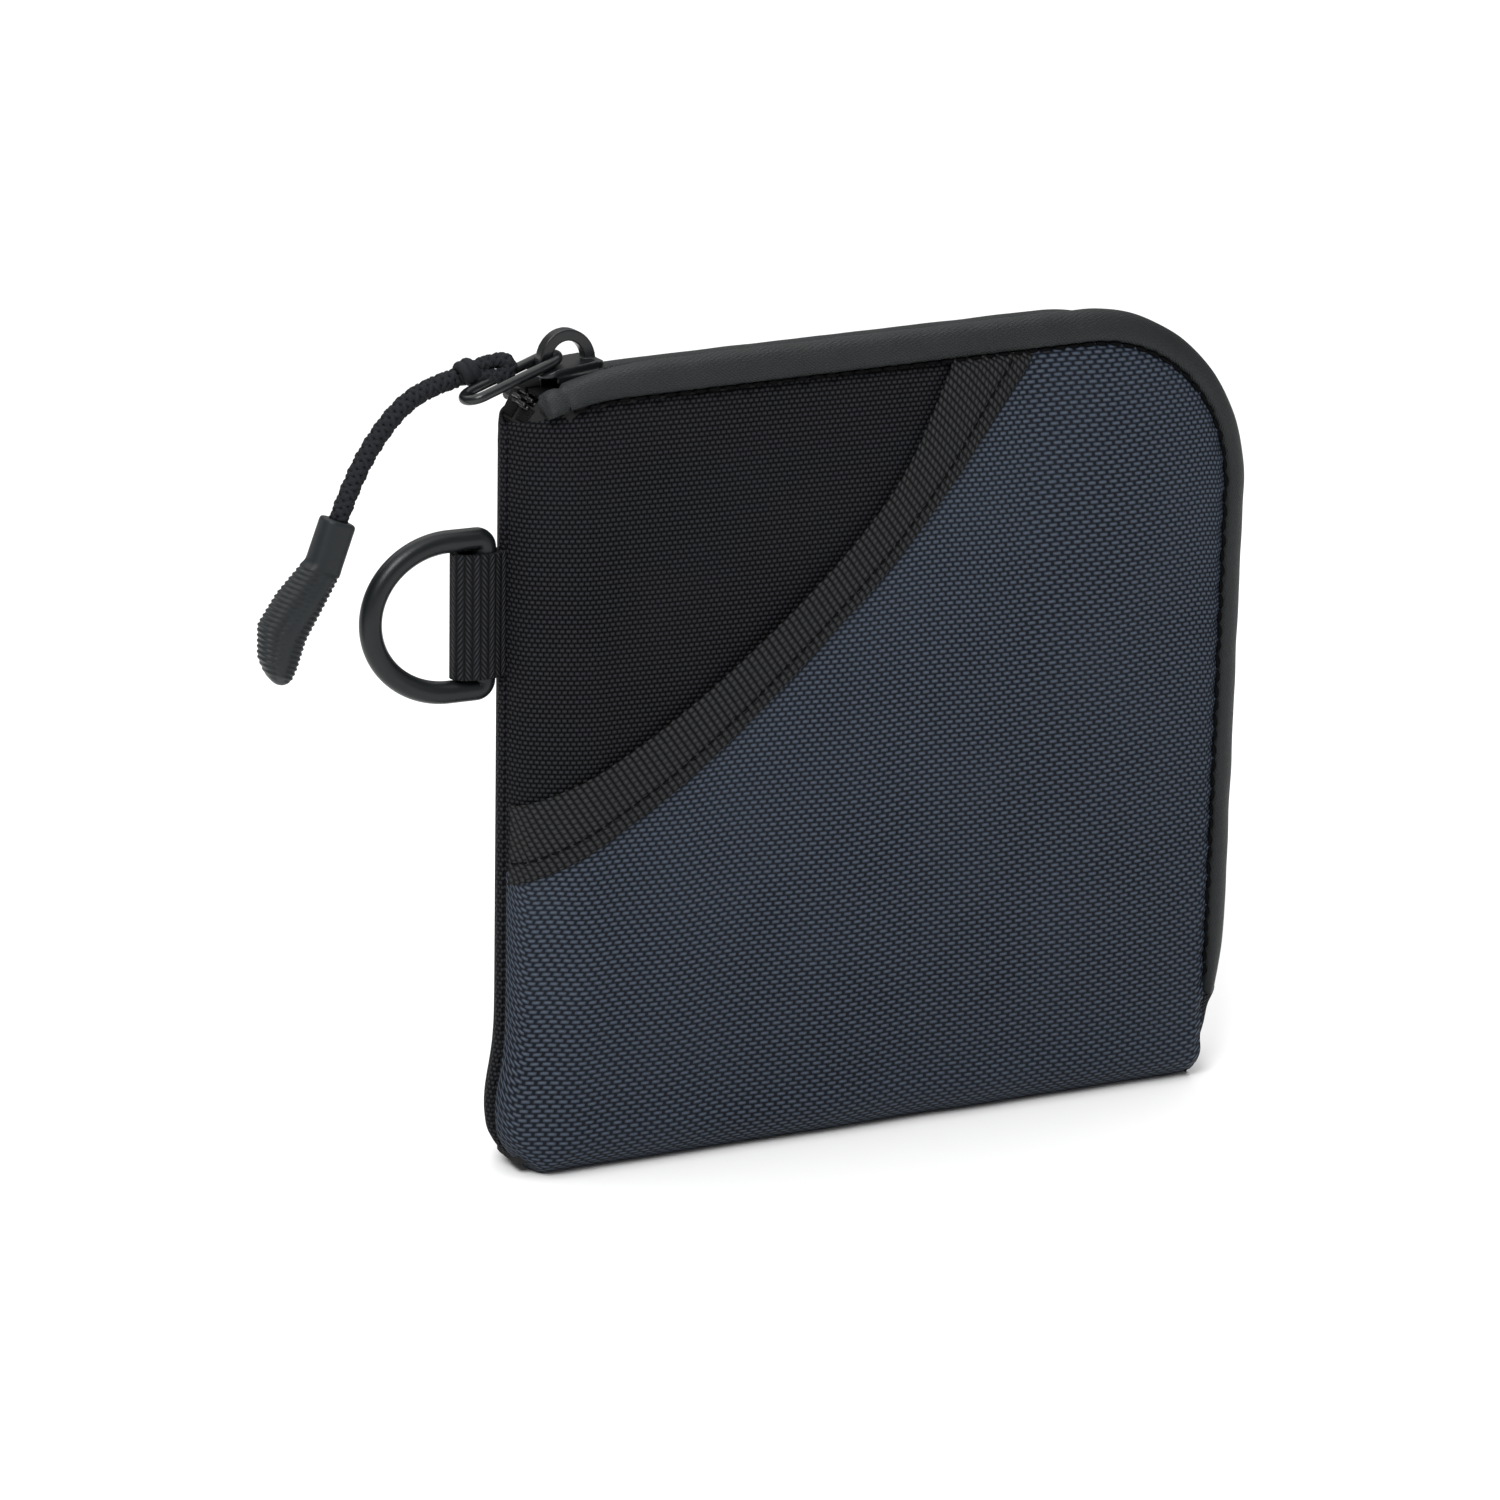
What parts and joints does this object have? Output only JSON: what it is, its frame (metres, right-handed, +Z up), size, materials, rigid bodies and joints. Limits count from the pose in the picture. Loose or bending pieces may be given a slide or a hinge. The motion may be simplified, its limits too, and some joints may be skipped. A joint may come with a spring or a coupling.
{
  "type": "zippered pouch",
  "caption": "Square soft pouch with an L-shaped zip over its top right corner, a slanting front pocket, a D-ring on a webbing tab and a cord zip pull.",
  "frame": {"origin": "middle of the flat bottom fold that the pouch stands on", "axes": "+Z up, +X to the right seen from the pocket side, the pocket side faces -Y"},
  "size_m": [0.171, 0.0245, 0.1368],
  "materials": {
    "plain_cloth": "matt plain weave",
    "pocket_cloth": "coarse two-tone weave",
    "ribbed_tape": "ribbed binding tape",
    "coated_cloth": "satin coated cloth",
    "foam": "soft closed-cell foam",
    "lining": "thin smooth lining",
    "zip_tape": "woven tape",
    "zip_coil": "moulded coil",
    "slider_metal": "semi-gloss enamel",
    "braid": "braided cord",
    "pull_rubber": "matt moulded rubber",
    "webbing": "ribbed webbing",
    "ring_coat": "matt powder coat"
  },
  "bodies": {
    "pouch": {"front_panel": "plain_cloth", "back_panel": "plain_cloth", "slant_pocket": "pocket_cloth", "pocket_binding": "ribbed_tape", "front_foam": "foam", "back_foam": "foam", "front_lining": "lining", "back_lining": "lining", "front_zip_strip": "coated_cloth", "back_zip_strip": "coated_cloth", "front_zip_tape": "zip_tape", "back_zip_tape": "zip_tape", "front_zip_coil": "zip_coil", "back_zip_coil": "zip_coil", "zip_end_flap": "plain_cloth", "ring_tab": "webbing"},
    "slider": {"slider_body": "slider_metal"},
    "bail": {"wire_bail": "slider_metal", "cord_loop": "braid", "cord_knot": "braid"},
    "pull": {"pull_cord": "braid", "pull_end": "pull_rubber"},
    "ring": {"d_ring": "ring_coat"}
  },
  "joints": [
    {"name": "zip_slide", "type": "slide", "parent": "pouch", "child": "slider", "axis": [0.9997, 0, 0.0262], "range_m": [0, 0.082]},
    {"name": "bail_lift", "type": "hinge", "parent": "slider", "child": "bail", "pos_m": [-0.05407, 0, 0.13267], "axis": [0, 1, 0], "range_deg": [0, 164.01]},
    {"name": "pull_swing", "type": "hinge", "parent": "bail", "child": "pull", "pos_m": [-0.067, 0.0043, 0.1302], "axis": [0, 1, 0], "range_deg": [-6, 55]},
    {"name": "ring_swing", "type": "hinge", "parent": "pouch", "child": "ring", "pos_m": [-0.066, 0, 0.0926], "axis": [0, 0, 1], "range_deg": [-80, 80]}
  ],
  "couplings": [
    {"joint": "bail_lift", "follows": "zip_slide", "rad_per_m": 34.907}
  ]
}
